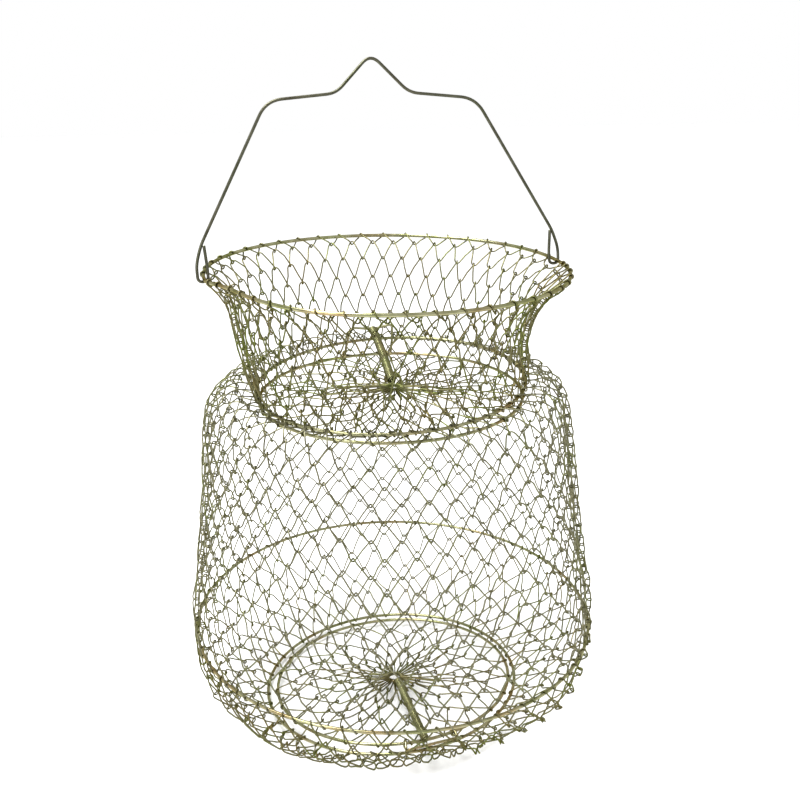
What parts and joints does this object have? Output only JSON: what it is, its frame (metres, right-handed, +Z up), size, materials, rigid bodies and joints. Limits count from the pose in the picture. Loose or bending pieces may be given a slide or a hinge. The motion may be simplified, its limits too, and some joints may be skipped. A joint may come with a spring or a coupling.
{
  "type": "wire keep net",
  "caption": "Folding wire keep net for live fish: bail, rim, narrow collar, wide round body and a sprung net trap door at each end, all of yellowish plated wire.",
  "frame": {"origin": "centre of the base ring, at the surface that the net stands on", "axes": "+Z up along the net's axis, +X along the bail's hinge line, -Y towards the base door's hinge"},
  "size_m": [0.3374, 0.3378, 0.5181],
  "materials": {
    "ring_wire": "yellow plated, satin",
    "net_wire": "yellow plated, satin",
    "bail_wire": "plated, greyer than the net",
    "spring_wire": "plated spring wire"
  },
  "bodies": {
    "base": {"base_ring": "ring_wire", "base_bracket": "ring_wire", "base_spring": "spring_wire", "base_row_1": "net_wire", "base_row_2": "net_wire", "base_row_3": "net_wire"},
    "hoop": {"body_hoop": "ring_wire", "body_row_1": "net_wire", "body_row_2": "net_wire", "body_row_3": "net_wire", "body_row_4": "net_wire", "body_row_5": "net_wire", "body_row_6": "net_wire", "body_row_7": "net_wire", "body_row_8": "net_wire"},
    "neck": {"neck_ring": "ring_wire", "top_bracket": "ring_wire", "top_spring": "spring_wire", "collar_row_1": "net_wire", "collar_row_2": "net_wire", "collar_row_3": "net_wire"},
    "rim": {"rim_ring": "ring_wire"},
    "bail": {"bail": "bail_wire"},
    "top_door": {"top_door_ring": "ring_wire", "top_door_hub": "ring_wire", "top_door_row_1": "net_wire", "top_door_row_2": "net_wire"},
    "base_door": {"base_door_ring": "ring_wire", "base_door_hub": "ring_wire", "base_door_row_1": "net_wire", "base_door_row_2": "net_wire"}
  },
  "joints": [
    {"name": "base_fold", "type": "slide", "parent": "base", "child": "hoop", "axis": [0, 0, 1], "range_m": [-0.04, 0], "deforming": ["base_row_1", "base_row_2", "base_row_3"]},
    {"name": "body_fold", "type": "slide", "parent": "hoop", "child": "neck", "axis": [0, 0, 1], "range_m": [-0.13, 0], "deforming": ["body_row_1", "body_row_2", "body_row_3", "body_row_4", "body_row_5", "body_row_6", "body_row_7", "body_row_8"]},
    {"name": "collar_fold", "type": "slide", "parent": "neck", "child": "rim", "axis": [0, 0, 1], "range_m": [-0.055, 0], "deforming": ["collar_row_1", "collar_row_2", "collar_row_3"]},
    {"name": "bail_hinge", "type": "hinge", "parent": "rim", "child": "bail", "pos_m": [0, 0, 0.36143], "axis": [1, 0, 0], "range_deg": [-50, 80]},
    {"name": "top_door_hinge", "type": "hinge", "parent": "neck", "child": "top_door", "pos_m": [0.0085, 0.10799, 0.26423], "axis": [0.9969, -0.0785, 0], "range_deg": [0, 65], "stiffness_Nm_per_rad": 0.12, "springref_deg": -68.75, "deforming": ["top_spring"]},
    {"name": "base_door_hinge", "type": "hinge", "parent": "base", "child": "base_door", "pos_m": [0.00694, -0.09922, 0.00425], "axis": [-0.9976, -0.0698, 0], "range_deg": [0, 65], "stiffness_Nm_per_rad": 0.12, "springref_deg": -68.75, "deforming": ["base_spring"]}
  ]
}
